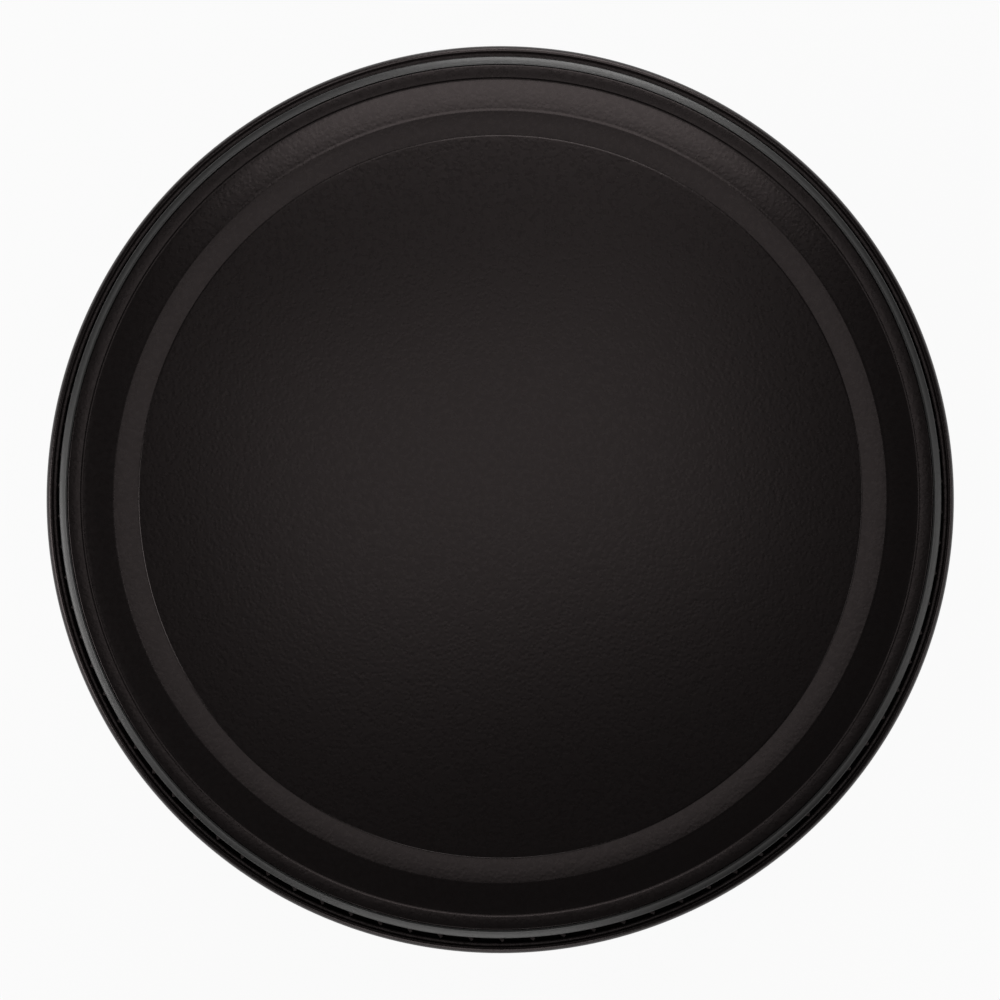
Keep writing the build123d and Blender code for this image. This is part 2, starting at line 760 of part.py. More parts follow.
with BuildPart() as lid_trim_ring:
    with BuildSketch(Plane.XZ):
        with BuildLine():
            Polyline((seat_r + fit_gap, rim_z - trim_drop), (trim_outer, rim_z - trim_drop),
                     (trim_outer, rim_z), (trim_outer - trim_chamfer[0], shoulder_z),
                     (seat_r + fit_gap, shoulder_z), close=True)
        make_face()
    revolve(axis=Axis.Z)
save(lid_trim_ring, "lid_trim_ring")

dome_radius = (disc_edge ** 2 + disc_rise ** 2) / (2 * disc_rise)
dome_centre_z = overall_height - dome_radius
under_radius = dome_radius - disc_thick
under_edge_r = disc_ledge - 1.0
under_edge_z = dome_centre_z + math.sqrt(under_radius ** 2 - under_edge_r ** 2)
half_r = disc_edge / 2
with BuildPart() as lid_disc:
    with BuildSketch(Plane.XZ):
        with BuildLine():
            Line((0, overall_height - disc_thick), (0, overall_height))
            ThreePointArc((0, overall_height),
                          (half_r, dome_centre_z + math.sqrt(dome_radius ** 2 - half_r ** 2)),
                          (disc_edge, disc_edge_z))
            Polyline((disc_edge, disc_edge_z), (disc_edge, land_z - 2), (under_edge_r, land_z - 2),
                     (under_edge_r, under_edge_z))
            ThreePointArc((under_edge_r, under_edge_z),
                          (under_edge_r / 2,
                           dome_centre_z + math.sqrt(under_radius ** 2 - under_edge_r ** 2 / 4)),
                          (0, overall_height - disc_thick))
        make_face()
    revolve(axis=Axis.Z)
save(lid_disc, "lid_disc")
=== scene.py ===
"""A round-bodied desktop delta printer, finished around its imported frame.

The frame holds every piece at its real place. This file turns the round covers as smooth
lathed surfaces, cuts the belts' teeth, finishes every piece and sets up a plain studio.
Lengths are in metres, and MM turns millimetres into them.
"""
import json
import math

import bpy
import numpy as np
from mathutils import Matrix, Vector


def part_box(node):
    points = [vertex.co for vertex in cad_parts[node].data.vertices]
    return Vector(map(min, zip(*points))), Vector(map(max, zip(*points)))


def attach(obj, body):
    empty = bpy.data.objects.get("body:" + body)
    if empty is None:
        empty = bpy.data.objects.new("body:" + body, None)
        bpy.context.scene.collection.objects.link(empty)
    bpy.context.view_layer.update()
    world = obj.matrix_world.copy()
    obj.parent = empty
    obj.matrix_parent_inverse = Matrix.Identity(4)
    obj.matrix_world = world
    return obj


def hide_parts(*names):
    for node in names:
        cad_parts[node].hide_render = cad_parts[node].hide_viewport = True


bl_info = {
    "name": "Delta Printer Finisher",
    "version": (1, 0, 0),
    "blender": (4, 5, 0),
    "location": "3D View > Sidebar > Printer",
    "description": "Lathed covers, belts, finishes and studio for a round delta printer",
    "category": "Object",
}

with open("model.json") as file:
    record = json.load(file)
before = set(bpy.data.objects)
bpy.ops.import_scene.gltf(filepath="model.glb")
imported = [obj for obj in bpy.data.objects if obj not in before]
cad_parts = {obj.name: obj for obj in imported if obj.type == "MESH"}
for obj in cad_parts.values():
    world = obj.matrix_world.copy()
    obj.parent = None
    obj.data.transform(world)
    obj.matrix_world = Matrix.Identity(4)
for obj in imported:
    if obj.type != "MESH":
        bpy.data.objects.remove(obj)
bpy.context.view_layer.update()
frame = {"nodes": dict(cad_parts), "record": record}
MM = 0.001
WHITE = (1, 1, 1, 1)


def top_of(node):
    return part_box(node)[1][2]


def foot_of(node):
    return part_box(node)[0][2]


def reach_of(node):
    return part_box(node)[1][0]


# ---------------------------------------------------------------- fixed sizes
CRISP = 0.05 * MM                # rounding of edges that stay crisp
SOFT = 0.2 * MM                  # rounding of small turned and moulded edges

LID_WALL = 3.0 * MM              # thickness of the lid's skirt
LID_PLATE = 4.5 * MM             # depth from the land's top to the lid's underside
SEAT_DEPTH = 2.5 * MM            # how far the trim ring's seat is cut in from its rim
SHOULDER_IN = 122.4 * MM         # radius where the shoulder meets the slope
SHOULDER_RISE = 0.34 * MM        # how far the shoulder climbs from the trim ring
SEAT_ROUND = 0.6 * MM            # rounding of the shoulder's outer edge
SEAT_STEP = 0.02 * MM            # how far that edge lies below the trim ring
SLOPE_BOW = 80.0 * MM            # radius of the slope's convex arc
SLOPE_CREASE = 0.12 * MM         # rounding of the slope's two creases
LAND_OUT = 112.4 * MM            # radius where the slope meets the flat land
LEDGE_IN = 100.0 * MM            # inner radius of the ledge under the disc
LEDGE_DROP = 2.0 * MM            # how far the ledge lies below the land
LEDGE_STEP = 1.0 * MM            # how far the lid's plate reaches out past the land
HAUNCH = (1.0 * MM, 4.0 * MM)    # the underside's drop below the trim ring, at slope and skirt

DISC_GAP = 0.02 * MM             # hairline between the land and the disc
DISC_STAND = 0.6 * MM            # how far the disc's edge stands above the land
DISC_ROUND = 0.5 * MM            # rounding of the disc's edge
DISC_THICK = 2.6 * MM            # thickness of the disc's dome
DISC_LAP = 1.0 * MM              # how far the disc's foot reaches in past the ledge

BEVEL_WIDTH = 2.0 * MM           # the trim ring's bevel, across
BEVEL_DROP = 1.9 * MM            # and down
BEVEL_DISH = 9.0 * MM            # radius of the bevel's hollow
TRIM_WIDTH = 2.4 * MM            # the trim ring's width at its foot

HAT_WALL = 2.5 * MM              # thickness of the hat's wall
LIP_IN = 131.8 * MM              # inner radius of the lip
LIP_ROUND = (1.9 * MM, 3.0 * MM)  # half axes of the lip's quarter ellipse, across and down
LIP_FALL = 0.25 * MM             # how far the lip's top falls towards the inside
LIP_EDGE = 0.15 * MM             # rounding of the lip's inner edge
LIP_DEPTH = 4.0 * MM             # depth of the thick lip on the inside
LIP_TAPER = 0.7 * MM             # further depth over which it thins to the wall
HAT_LEDGE = 3.5 * MM             # width of the ledge that carries the vent ring
HAT_LEDGE_THICK = 2.5 * MM       # its thickness at its inner edge
HAT_LEDGE_ROOT = 6.0 * MM        # and at the wall

FLANGE_IN = 125.0 * MM           # inner radius of the vent ring's flange
FIN_RING = 130.35 * MM           # radius of the circle through the fins' middles
FIN_ROOT = 0.1 * MM              # how deep a fin is let into the flange

BELT_BACK = 13.43 * MM           # radius of the belt's back round a pulley
BELT_THICK = 1.4 * MM            # the belt's thickness with its teeth
BELT_EDGES = (99 * MM, 105 * MM)  # the belt's two edges, out from the printer's axis
TOOTH_STEPS = 6                  # points along one tooth
TOWERS = {"a": 90.0, "b": 210.0, "c": 330.0}

RIM = top_of("top_shell")
FLOOR_HALF = 4.0                 # half the floor's side
FLOOR_GLOW = 0.94                # how far the floor looks like plain white to the camera
GLOSS_GLOW = 0.4                 # and the share of that which reflections see
WORLD_LIGHT = 0.05               # strength of the world's own light on the printer
# each lamp: name, place, height of its aim on the printer's axis, width and depth, watts
LAMPS = (
    ("overhead", (-0.03, 0.16, 3.2), RIM, (1.45, 0.95), 3.2),
    ("back_high", (0.05, 1.78, 2.55), RIM, (2.2, 1.2), 14.0),
    ("back_low", (0.4, 2.9, 1.0), 0.3, (2.0, 1.2), 26.0),
    ("left", (-2.5, -0.5, 1.2), 0.3, (1.6, 1.4), 22.0),
    ("right", (2.6, -0.4, 1.1), 0.3, (1.6, 1.2), 7.0),
    ("front", (-0.3, -2.8, 1.0), 0.25, (2.0, 1.3), 14.0),
)
CAMERA_LEAN = math.radians(1.3)  # how far the camera leans back from straight down
CAMERA_REACH = 1.5               # from the camera to the hat's rim
CAMERA_AIM = (-0.07 * MM, -0.44 * MM)  # x and y of the point it looks at
CAMERA_WIDTH = 0.2970            # width that the camera takes in at the rim
SENSOR_MM = 36.0


# ---------------------------------------------------------------- profiles and surfaces
def rounded(corners, radius, steps=5):
    """A closed outline with each corner replaced by an arc.

    Each corner is (r, z) or (r, z, its own radius). The arc touches both sides at
    radius / tan(half the corner's angle) from the corner, cut back to 45% of the shorter side,
    and its points are the quadratic curve between those two touching points.
    """
    pts = np.array([c[:2] for c in corners], float)
    radii = np.array([c[2] if len(c) > 2 else radius for c in corners], float)
    before = np.roll(pts, 1, axis=0) - pts
    after = np.roll(pts, -1, axis=0) - pts
    len_b = np.linalg.norm(before, axis=1)
    len_a = np.linalg.norm(after, axis=1)
    before /= len_b[:, None]
    after /= len_a[:, None]
    half = np.arccos(np.clip((before * after).sum(1), -0.999999, 0.999999)) / 2
    cut = np.minimum(radii / np.tan(half), 0.45 * np.minimum(len_b, len_a))
    t = np.linspace(0, 1, steps)[None, :, None]
    start = (pts + before * cut[:, None])[:, None, :]
    end = (pts + after * cut[:, None])[:, None, :]
    mid = pts[:, None, :]
    return ((1 - t) ** 2 * start + 2 * t * (1 - t) * mid + t ** 2 * end).reshape(-1, 2)


def arc_points(p0, p1, radius, count):
    """Points on the upper arc of that radius from p0 to p1: centre on the chord's lower side."""
    p0, p1 = np.array(p0, float), np.array(p1, float)
    chord = p1 - p0
    length = np.linalg.norm(chord)
    normal = np.array([chord[1], -chord[0]]) / length
    if normal[1] > 0:
        normal = -normal
    centre = (p0 + p1) / 2 + normal * math.sqrt(radius ** 2 - length ** 2 / 4)
    a0 = math.atan2(*(p0 - centre)[::-1])
    a1 = math.atan2(*(p1 - centre)[::-1])
    a = np.linspace(a0, a1, count)
    return np.stack([centre[0] + radius * np.cos(a), centre[1] + radius * np.sin(a)], -1)


def cap_points(r, top, radius, drop=0.0):
    """Points (r, z) on a sphere's cap of that radius with its top at top, moved in by drop."""
    return np.stack([r, top - radius + np.sqrt((radius - drop) ** 2 - r ** 2)], -1)


def make_mesh(name, verts, *faces, smooth=True):
    """A mesh object from a vertex array and one or more face arrays."""
    mesh = bpy.data.meshes.new(name)
    mesh.from_pydata(verts.tolist(), [], sum((part.tolist() for part in faces), []))
    mesh.update()
    mesh.polygons.foreach_set("use_smooth", np.full(len(mesh.polygons), smooth))
    obj = bpy.data.objects.new(name, mesh)
    bpy.context.scene.collection.objects.link(obj)
    return obj


def grid_faces(rows, cols, close_rows):
    """Faces of a grid that closes around its columns, and around its rows if asked."""
    last = rows if close_rows else rows - 1
    i, j = np.meshgrid(np.arange(last), np.arange(cols), indexing="ij")
    i2, j2 = (i + 1) % rows, (j + 1) % cols
    return np.stack([i * cols + j, i * cols + j2, i2 * cols + j2, i2 * cols + j], -1).reshape(-1, 4)


def turned(outline, around):
    """Vertices of an outline turned round Z: (r, z) goes to (r cos a, r sin a, z) for every a."""
    a = np.linspace(0, 2 * math.pi, around, endpoint=False)
    r, z = outline[:, 0][:, None], outline[:, 1][:, None]
    grid = np.stack([r * np.cos(a), r * np.sin(a), np.broadcast_to(z, (len(outline), around))], -1)
    return grid.reshape(-1, 3)


def lathe_ring(name, outline, around):
    """A ring: the closed outline turned round Z.

    The outline's signed area, half the sum of r z' - r' z, says which way its faces point.
    """
    faces = grid_faces(len(outline), around, True)
    r, z = outline[:, 0], outline[:, 1]
    area = 0.5 * np.sum(r * np.roll(z, -1) - np.roll(r, -1) * z)
    if area < 0:
        faces = faces[:, ::-1]
    return make_mesh(name, turned(outline, around), faces)


def lathe_disc(name, outline, around):
    """A disc: an open outline from the axis at the top to the axis at the bottom, turned round Z.

    The first and last points are poles, each joined to its neighbouring row by triangles.
    """
    rows = outline[1:-1]
    poles = [[0, 0, outline[0, 1]], [0, 0, outline[-1, 1]]]
    verts = np.concatenate([turned(rows, around), poles])
    j = np.arange(around)
    j2 = (j + 1) % around
    top, bottom = len(verts) - 2, len(verts) - 1
    base = (len(rows) - 1) * around
    cap_top = np.stack([np.full(around, top), j, j2], -1)
    cap_low = np.stack([np.full(around, bottom), base + j2, base + j], -1)
    return make_mesh(name, verts, grid_faces(len(rows), around, False)[:, ::-1], cap_top, cap_low)


def slanted_fins(name, count, length, thickness, low, high):
    """Upright slabs round a ring, each with its length leaning 45 degrees from the radius.

    Each corner is the fin's middle + along * half length + across * half thickness, turned by
    the fin's place round the ring, at the low and the high level.
    """
    a = (np.arange(count) + 0.5) * 2 * math.pi / count
    radial = np.stack([np.cos(a), np.sin(a)], -1)
    tangent = np.stack([-np.sin(a), np.cos(a)], -1)
    along = (radial + tangent) / math.sqrt(2)
    across = (tangent - radial) / math.sqrt(2)
    ends = np.array([[1, 1], [-1, 1], [-1, -1], [1, -1]]) / 2
    plan = (FIN_RING * radial[:, None] + ends[None, :, :1] * length * along[:, None]
            + ends[None, :, 1:] * thickness * across[:, None])
    levels = np.broadcast_to(np.array([low, high])[None, :, None, None], (count, 2, 4, 1))
    verts = np.concatenate([np.repeat(plan[:, None], 2, 1), levels], -1)
    slab = np.array([[0, 3, 2, 1], [4, 5, 6, 7], [0, 1, 5, 4],
                     [1, 2, 6, 5], [2, 3, 7, 6], [3, 0, 4, 7]])
    faces = (np.arange(count) * 8)[:, None, None] + slab[None]
    return make_mesh(name, verts.reshape(-1, 3), faces.reshape(-1, 4), smooth=False)


def toothed_belt(name, angle, low, high, tooth_pitch, tooth_height):
    """A toothed belt round two pulleys, in the upright plane across the tower's radius.

    At distance s along its back the belt climbs the right run, turns half round the upper
    pulley, comes down the left run and turns half round the lower pulley. Its cross-section has
    the two back edges, and the two tooth edges set in by the thickness less a cosine wave of s
    whose period is the tooth pitch.
    """
    z_low, z_high = low + BELT_BACK, high - BELT_BACK
    span, half_turn = z_high - z_low, math.pi * BELT_BACK
    length = 2 * (span + half_turn)
    count = int(round(length / tooth_pitch)) * TOOTH_STEPS
    s = np.arange(count) * length / count
    upper = (s - span) / BELT_BACK
    lower = (s - 2 * span - half_turn) / BELT_BACK
    stretch = [s < span, s < span + half_turn, s < 2 * span + half_turn]
    zero = np.zeros(count)
    side = np.select(stretch, [zero + 1, np.cos(upper), zero - 1], -np.cos(lower))
    rise = np.select(stretch, [zero, np.sin(upper), zero], -np.sin(lower))
    down = z_high - (s - span - half_turn)
    middle = np.select(stretch, [z_low + s, zero + z_high, down], zero + z_low)
    wave = 0.5 + 0.5 * np.cos(2 * math.pi * np.arange(count) / TOOTH_STEPS)
    depth = BELT_THICK - tooth_height + tooth_height * wave
    out = np.array([math.cos(math.radians(angle)), math.sin(math.radians(angle)), 0])
    across = np.array([-out[1], out[0], 0])
    up = np.array([0, 0, 1.0])
    near, far = BELT_EDGES
    rows = []
    for u, inset in ((far, zero), (far, depth), (near, depth), (near, zero)):
        v = side * (BELT_BACK - inset)
        z = middle + rise * (BELT_BACK - inset)
        rows.append(u * out + v[:, None] * across + z[:, None] * up)
    verts = np.stack(rows).reshape(-1, 3)
    return make_mesh(name, verts, grid_faces(len(rows), count, True), smooth=False)


# ---------------------------------------------------------------- shader maths
class Value:
    """A socket whose arithmetic adds Math nodes."""

    def __init__(self, nodes, socket):
        self.nodes, self.socket = nodes, socket

    def _math(self, operation, a, b):
        return self.nodes.node("ShaderNodeMath", {"operation": operation}, {0: a, 1: b})

    def __add__(self, other):
        return self._math("ADD", self, other)

    def __radd__(self, other):
        return self._math("ADD", other, self)

    def __mul__(self, other):
        return self._math("MULTIPLY", self, other)

    def __rmul__(self, other):
        return self._math("MULTIPLY", other, self)


class Nodes:
    """A node tree with one way to add a node and one way to end the tree."""

    def __init__(self, tree):
        self.tree = tree

    def node(self, kind, settings, inputs, output=0):
        """A new node: its type, its settings, its sockets' values or links, and the output used."""
        made = self.tree.nodes.new(kind)
        for key, value in settings.items():
            setattr(made, key, value)
        for key, value in inputs.items():
            if isinstance(value, Value):
                self.tree.links.new(value.socket, made.inputs[key])
            else:
                made.inputs[key].default_value = value
        return Value(self, made.outputs[output])

    def end(self, name, value):
        """Links a value to the Surface of the tree's output node."""
        self.tree.links.new(value.socket, self.tree.nodes[name].inputs["Surface"])


class Shader(Nodes):
    """A material's node tree with a Principled shader and short ways to add to it."""

    def __init__(self, name, constants):
        self.material = bpy.data.materials.new("finish_" + name)
        self.material.use_nodes = True
        super().__init__(self.material.node_tree)
        self.surface = self.tree.nodes["Principled BSDF"]
        for key, value in constants.items():
            self.surface.inputs[key].default_value = value
        self.place = self.node("ShaderNodeTexCoord", {}, {}, "Object")

    def feed(self, socket, value):
        self.tree.links.new(value.socket, self.surface.inputs[socket])

    def noise(self, scale, detail=3.0, roughness=0.5):
        sockets = {"Vector": self.place, "Scale": scale, "Detail": detail, "Roughness": roughness}
        return self.node("ShaderNodeTexNoise", {}, sockets)

    def cells(self, scale):
        sockets = {"Vector": self.place, "Scale": scale}
        return self.node("ShaderNodeTexVoronoi", {}, sockets, "Distance")

    def tint(self, mask, low, high):
        sockets = {0: mask, 6: (*low, 1), 7: (*high, 1)}
        return self.node("ShaderNodeMix", {"data_type": "RGBA"}, sockets, 2)

    def between(self, mask, low, high):
        return mask * (high - low) + low

    def bump(self, height, strength, distance):
        sockets = {"Height": height, "Strength": strength, "Distance": distance}
        self.feed("Normal", self.node("ShaderNodeBump", {}, sockets))


def shade(colour, factor):
    return tuple(min(1.0, c * factor) for c in colour)


def grained_plastic(name, colour, roughness, grain):
    """Dark moulded casing plastic with a fine leather-like grain of the given size in metres."""
    s = Shader(name, {"Specular Tint": (1.0, 0.84, 0.83, 1.0)})
    pebbles = s.cells(1 / grain)
    wrinkles = s.noise(0.7 / grain, 2.0, 0.6)
    cloud = s.noise(9.0, 2.0)
    height = pebbles * 0.65 + wrinkles * 0.6
    s.feed("Base Color", s.tint(cloud, shade(colour, 0.85), shade(colour, 1.2)))
    s.feed("Roughness", s.between(wrinkles, roughness - 0.06, roughness + 0.08))
    s.bump(height, strength=0.3, distance=0.12 * MM)


def satin_plastic(name, colour, roughness):
    """Smooth moulded plastic with faint flow marks and a fine texture."""
    s = Shader(name, {})
    fine = s.noise(1400.0, 2.0)
    flow = s.noise(25.0, 3.0)
    s.feed("Base Color", s.tint(flow, shade(colour, 0.88), shade(colour, 1.12)))
    s.feed("Roughness", s.between(flow, roughness - 0.05, roughness + 0.07))
    s.bump(fine, strength=0.2, distance=0.06 * MM)


def brushed_metal(name, colour, roughness, stretch):
    """Metal with a drawn or brushed grain: noise squeezed along the brushing direction."""
    s = Shader(name, {"Metallic": 1.0})
    squeezed = s.node("ShaderNodeMapping", {}, {"Vector": s.place, "Scale": stretch})
    lines = s.node("ShaderNodeTexNoise", {}, {"Vector": squeezed, "Scale": 1.0, "Detail": 3.0})
    cloud = s.noise(30.0, 2.0)
    s.feed("Base Color", s.tint(lines, shade(colour, 0.88), shade(colour, 1.1)))
    s.feed("Roughness", s.between(cloud, roughness - 0.05, roughness + 0.08))
    s.bump(lines, strength=0.15, distance=0.04 * MM)


def coated_metal(name, colour, roughness, speckle, metallic=0.0):
    """Anodised, painted or powder-coated metal with a fine speckle."""
    s = Shader(name, {"Metallic": metallic})
    specks = s.cells(speckle)
    cloud = s.noise(20.0, 2.0)
    s.feed("Base Color", s.tint(cloud, shade(colour, 0.85), shade(colour, 1.15)))
    s.feed("Roughness", s.between(specks, roughness - 0.05, roughness + 0.1))
    s.bump(specks, strength=0.3, distance=0.08 * MM)


def soft_rubber(name, colour):
    """Matt rubber with a dusty bloom."""
    s = Shader(name, {"Specular IOR Level": 0.3})
    bloom = s.noise(60.0, 4.0)
    fine = s.noise(2500.0, 2.0)
    s.feed("Base Color", s.tint(bloom, shade(colour, 0.8), shade(colour, 1.5)))
    s.feed("Roughness", s.between(bloom, 0.7, 0.9))
    s.bump(fine, strength=0.3, distance=0.08 * MM)


def woven_carbon(name, colour):
    """Wound carbon tube: fine slanted bands under a satin lacquer."""
    s = Shader(name, {"Coat Weight": 0.4, "Coat Roughness": 0.15})
    bands = s.node("ShaderNodeTexWave", {"bands_direction": "DIAGONAL"},
                   {"Vector": s.place, "Scale": 220.0, "Distortion": 1.5})
    s.feed("Base Color", s.tint(bands, shade(colour, 0.6), shade(colour, 2.2)))
    s.feed("Roughness", s.between(bands, 0.3, 0.45))


def circuit_board(name, colour):
    """Solder mask with broad tracks just under the surface."""
    s = Shader(name, {"Coat Weight": 0.3})
    tracks = s.node("ShaderNodeTexBrick", {"offset": 0.3},
                    {"Vector": s.place, "Scale": 90.0, "Color1": WHITE,
                     "Color2": (0.6, 0.6, 0.6, 1), "Mortar": (0, 0, 0, 1), "Mortar Size": 0.05},
                    "Fac")
    cloud = s.noise(200.0, 2.0)
    s.feed("Base Color", s.tint(tracks, colour, shade(colour, 1.9)))
    s.feed("Roughness", s.between(cloud, 0.3, 0.5))
    s.bump(tracks, strength=0.4, distance=0.05 * MM)


def frosted_diffuser(name, colour):
    """Milky plastic that spreads the light of the lamps behind it."""
    s = Shader(name, {"Subsurface Weight": 0.3, "Subsurface Scale": 0.004})
    cloud = s.noise(80.0, 2.0)
    fine = s.noise(1800.0, 1.0)
    s.feed("Base Color", s.tint(cloud, shade(colour, 0.94), colour))
    s.feed("Roughness", s.between(cloud, 0.4, 0.55))
    s.bump(fine, strength=0.2, distance=0.05 * MM)


def floor_paper():
    """Pale paper that looks white to the camera, dimmer in reflections, and keeps a shadow."""
    s = Shader("floor_paper", {"Roughness": 0.9, "Specular IOR Level": 0.1})
    s.feed("Base Color", s.tint(s.noise(40.0, 2.0), (0.86, 0.86, 0.86), (0.9, 0.9, 0.9)))
    camera_ray = s.node("ShaderNodeLightPath", {}, {}, "Is Camera Ray")
    glossy_ray = s.node("ShaderNodeLightPath", {}, {}, "Is Glossy Ray")
    seen = (camera_ray + glossy_ray * GLOSS_GLOW) * FLOOR_GLOW
    lit = Value(s, s.surface.outputs[0])
    glow = s.node("ShaderNodeEmission", {}, {"Color": WHITE, "Strength": 1.0})
    s.end("Material Output", s.node("ShaderNodeMixShader", {}, {0: seen, 1: lit, 2: glow}))
    return s.material


def studio_world():
    """A world that shines softly on the printer and looks white to the camera."""
    world = bpy.data.worlds.new("studio")
    world.use_nodes = True
    sky = Nodes(world.node_tree)
    sky.tree.nodes.remove(sky.tree.nodes["Background"])
    soft = sky.node("ShaderNodeBackground", {}, {"Color": WHITE, "Strength": WORLD_LIGHT})
    white = sky.node("ShaderNodeBackground", {}, {"Color": WHITE, "Strength": 1.0})
    camera_ray = sky.node("ShaderNodeLightPath", {}, {}, "Is Camera Ray")
    sky.end("World Output", sky.node("ShaderNodeMixShader", {}, {0: camera_ray, 1: soft, 2: white}))
    return world


# ---------------------------------------------------------------- settings
class CoverSettings(bpy.types.PropertyGroup):
    crease: bpy.props.FloatProperty(
        name="Crease radius", description="Rounding of the covers' crisp creases",
        default=0.25 * MM, min=0.0, subtype="DISTANCE")
    segments: bpy.props.IntProperty(
        name="Segments", description="Faces around each turned cover", default=360, min=36)


class VentSettings(bpy.types.PropertyGroup):
    fins: bpy.props.IntProperty(
        name="Fins", description="Slanted fins around the vent gap", default=90, min=3)
    fin_length: bpy.props.FloatProperty(
        name="Fin length", description="Length of a fin across the gap",
        default=2.6 * MM, subtype="DISTANCE")
    fin_thickness: bpy.props.FloatProperty(
        name="Fin thickness", description="Thickness of a fin",
        default=0.9 * MM, subtype="DISTANCE")
    fin_height: bpy.props.FloatProperty(
        name="Fin height", description="How far a fin stands above its flange",
        default=6.0 * MM, subtype="DISTANCE")


class BeltSettings(bpy.types.PropertyGroup):
    tooth_pitch: bpy.props.FloatProperty(
        name="Tooth pitch", description="Distance from tooth to tooth along the belt",
        default=2.0 * MM, subtype="DISTANCE")
    tooth_height: bpy.props.FloatProperty(
        name="Tooth height", description="How far the teeth stand in from the belt's back",
        default=0.65 * MM, subtype="DISTANCE")


class FinishSettings(bpy.types.PropertyGroup):
    casing: bpy.props.FloatVectorProperty(
        name="Casing colour", description="Warm near-black of the moulded covers",
        default=(0.0058, 0.0046, 0.0046), size=3, min=0, max=1, subtype="COLOR")
    trim: bpy.props.FloatVectorProperty(
        name="Trim colour", description="Gunmetal of the lid's bevelled ring",
        default=(0.098, 0.096, 0.095), size=3, min=0, max=1, subtype="COLOR")
    grain: bpy.props.FloatProperty(
        name="Grain size", description="Size of the casing's moulded pebbles",
        default=1.1 * MM, subtype="DISTANCE")
    roughness: bpy.props.FloatProperty(
        name="Casing roughness", description="Roughness of the moulded covers",
        default=0.27, min=0, max=1, subtype="FACTOR")


def finish_named(name):
    """The finish of that name, which the first operator made."""
    return bpy.data.materials["finish_" + name]


def put_on(obj, finish, body, slot, *nodes):
    """Finishes a new piece: its finish, the body it rides on, its slot (not used), the nodes it
    stands for.
    """
    obj.data.materials.append(finish_named(finish))
    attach(obj, body)
    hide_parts(*nodes)


# ---------------------------------------------------------------- operators
class PRINTER_OT_finishes(bpy.types.Operator):
    """Makes every finish and puts it on the frame's pieces by their slots"""
    bl_idname = "printer.finishes"
    bl_label = "Finishes"

    def execute(self, context):
        look = context.scene.printer_finish
        up = (900.0, 900.0, 12.0)
        sideways = (60.0, 1500.0, 1500.0)
        grained_plastic("shell_plastic", look.casing, look.roughness, look.grain)
        soft_rubber("vent_black", (0.010, 0.0085, 0.0085))
        satin_plastic("deck_plastic", (0.02, 0.018, 0.018), 0.42)
        coated_metal("trim_metal", look.trim, 0.34, 2600.0, metallic=0.85)
        brushed_metal("aluminium", (0.62, 0.63, 0.64), 0.36, up)
        coated_metal("black_aluminium", (0.02, 0.02, 0.021), 0.4, 1800.0)
        brushed_metal("steel", (0.56, 0.57, 0.58), 0.26, sideways)
        soft_rubber("rubber", (0.018, 0.018, 0.018))
        soft_rubber("belt_rubber", (0.012, 0.012, 0.013))
        satin_plastic("printed_plastic", (0.035, 0.035, 0.038), 0.48)
        woven_carbon("carbon_rod", (0.012, 0.012, 0.013))
        coated_metal("motor_black", (0.014, 0.014, 0.015), 0.42, 1500.0)
        circuit_board("board_green", (0.008, 0.07, 0.03))
        brushed_metal("brass", (0.72, 0.5, 0.2), 0.24, sideways)
        coated_metal("flex_sheet", (0.30, 0.21, 0.075), 0.5, 1300.0)
        frosted_diffuser("diffuser", (0.82, 0.82, 0.8))
        satin_plastic("button_plastic", (0.06, 0.06, 0.064), 0.3)
        for part in frame["record"]["subparts"]:
            mesh = frame["nodes"][part["node"]].data
            mesh.materials.clear()
            mesh.materials.append(finish_named(part["material_slot"]))
        return {"FINISHED"}


class PRINTER_OT_lid_cover(bpy.types.Operator):
    """Turns the lid's cover: skirt, shoulder, convex slope and flat land in one shell"""
    bl_idname = "printer.lid_cover"
    bl_label = "Lid cover"

    def execute(self, context):
        cover = context.scene.printer_cover
        trim_low, trim_top = foot_of("lid_trim_ring"), top_of("lid_trim_ring")
        outer, skirt = reach_of("lid_body"), foot_of("lid_body")
        inner = outer - LID_WALL
        land, land_in = top_of("lid_body"), reach_of("lid_disc") + DISC_GAP
        ledge, under = land - LEDGE_DROP, land - LID_PLATE
        seat = reach_of("lid_trim_ring") - SEAT_DEPTH
        shoulder = (SHOULDER_IN, trim_top + SHOULDER_RISE)
        # the slope is one arc whose tilt grows outward, with a crisp crease at each end
        slope = arc_points(shoulder, (LAND_OUT, land), SLOPE_BOW, count=12)
        outside = rounded([(inner, skirt), (outer, skirt), (outer, trim_low), (seat, trim_low),
                           (seat, trim_top - SEAT_STEP, SEAT_ROUND), (*shoulder, SLOPE_CREASE)],
                          cover.crease)
        # the underside follows the top, thickening from the slope to the skirt
        inside = rounded([(LAND_OUT, land, SLOPE_CREASE), (land_in, land, CRISP),
                          (land_in, ledge), (LEDGE_IN, ledge), (LEDGE_IN, under),
                          (LAND_OUT + LEDGE_STEP, under), (SHOULDER_IN, trim_low - HAUNCH[0]),
                          (inner, trim_low - HAUNCH[1])], cover.crease)
        outline = np.concatenate([outside, slope[1:-1], inside])
        shell = lathe_ring("lid_cover", outline, cover.segments)
        put_on(shell, "shell_plastic", "lid", "shell_plastic", "lid_body")
        return {"FINISHED"}


